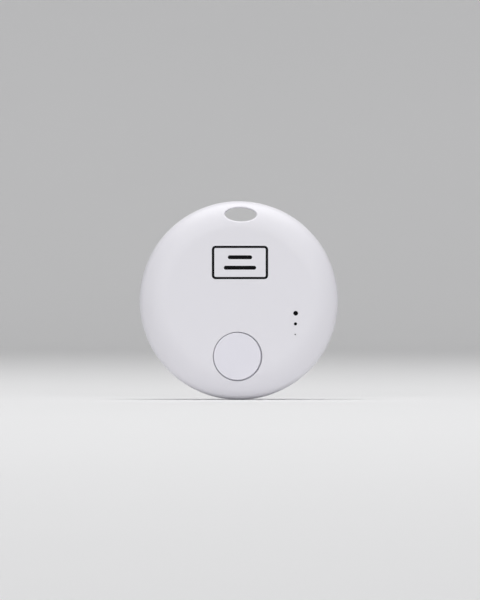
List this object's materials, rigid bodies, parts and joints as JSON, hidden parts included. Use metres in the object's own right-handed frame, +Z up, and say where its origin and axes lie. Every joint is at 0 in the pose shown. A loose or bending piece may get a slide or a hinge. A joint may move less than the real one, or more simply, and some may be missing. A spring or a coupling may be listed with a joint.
{
  "type": "bluetooth tracker",
  "caption": "Round key-ring tracker disc with an oval ring slot, press button, sound ports and screw-out battery door.",
  "frame": {"origin": "centre of the key-ring slot, half way through the case", "axes": "+Z up with the tag hanging from its slot, +X to the right as its front is seen, +Y from the front face to the rear face"},
  "size_m": [0.038, 0.008, 0.038],
  "materials": {
    "case_plastic": "satin moulded",
    "door_plastic": "satin moulded",
    "button_plastic": "satin moulded",
    "bay_plastic": "matt moulded",
    "silicone": "matt",
    "foam": "open foam",
    "adhesive": "tacky film",
    "mesh_fabric": "fine woven mesh",
    "brass": "rolled",
    "ceramic": "fired, silvered",
    "gold_pins": "gold plated",
    "board_laminate": "solder mask",
    "chip_plastic": "moulded epoxy",
    "tin": "tinned",
    "steel_can": "nickel plated",
    "steel_sheet": "rolled",
    "screw_steel": "zinc plated",
    "lamp_resin": "clear resin",
    "lithium": "soft metal",
    "cathode_powder": "pressed powder",
    "film": "polyimide"
  },
  "bodies": {
    "case": {"front_shell": "case_plastic", "rear_shell": "case_plastic", "button_return_ring": "silicone", "port_mesh": "mesh_fabric", "sounder_adhesive": "adhesive", "sounder_plate": "brass", "sounder_ceramic": "ceramic", "sounder_pins": "gold_pins", "circuit_board": "board_laminate", "radio_chip": "chip_plastic", "main_crystal": "steel_can", "clock_crystal": "steel_can", "chip_antenna": "ceramic", "capacitors": "ceramic", "capacitor_terminals": "tin", "resistors": "chip_plastic", "resistor_terminals": "tin", "boost_coil": "chip_plastic", "driver_transistor": "chip_plastic", "transistor_leads": "tin", "status_led": "lamp_resin", "switch_base": "chip_plastic", "switch_cover": "steel_sheet", "switch_dome": "steel_sheet", "board_screws": "screw_steel", "positive_clips": "gold_pins", "negative_spring": "gold_pins", "insulating_film": "film", "battery_frame": "bay_plastic"},
    "door_carrier": {"door_seal": "silicone"},
    "door": {"battery_door": "door_plastic", "cell_pad": "foam"},
    "button": {"button_cap": "button_plastic"},
    "plunger": {"switch_plunger": "bay_plastic"},
    "cell": {"cell_can": "steel_can", "cell_cap": "steel_can", "cell_gasket": "silicone", "cell_anode": "lithium", "cell_cathode": "cathode_powder"}
  },
  "joints": [
    {"name": "button_press", "type": "slide", "parent": "case", "child": "button", "axis": [0, 1, 0], "range_m": [0, 0.0002], "stiffness_N_per_m": 6000, "springref_m": -0.0001, "deforming": ["button_return_ring"]},
    {"name": "plunger_travel", "type": "slide", "parent": "case", "child": "plunger", "axis": [0, 1, 0], "range_m": [0, 0.0002], "deforming": ["switch_dome"]},
    {"name": "door_lift", "type": "slide", "parent": "case", "child": "door_carrier", "axis": [0, 1, 0], "range_m": [0, 0.0096]},
    {"name": "door_turn", "type": "hinge", "parent": "door_carrier", "child": "door", "pos_m": [0, 0, -0.01656], "axis": [0, 1, 0], "range_deg": [0, 720]},
    {"name": "cell_lift", "type": "slide", "parent": "case", "child": "cell", "axis": [0, 1, 0], "range_m": [0, 0.008]}
  ],
  "couplings": [
    {"joint": "plunger_travel", "follows": "button_press", "ratio": 1},
    {"joint": "door_turn", "follows": "door_lift", "rad_per_m": 1309},
    {"joint": "cell_lift", "follows": "door_lift", "ratio": 0.83333}
  ]
}
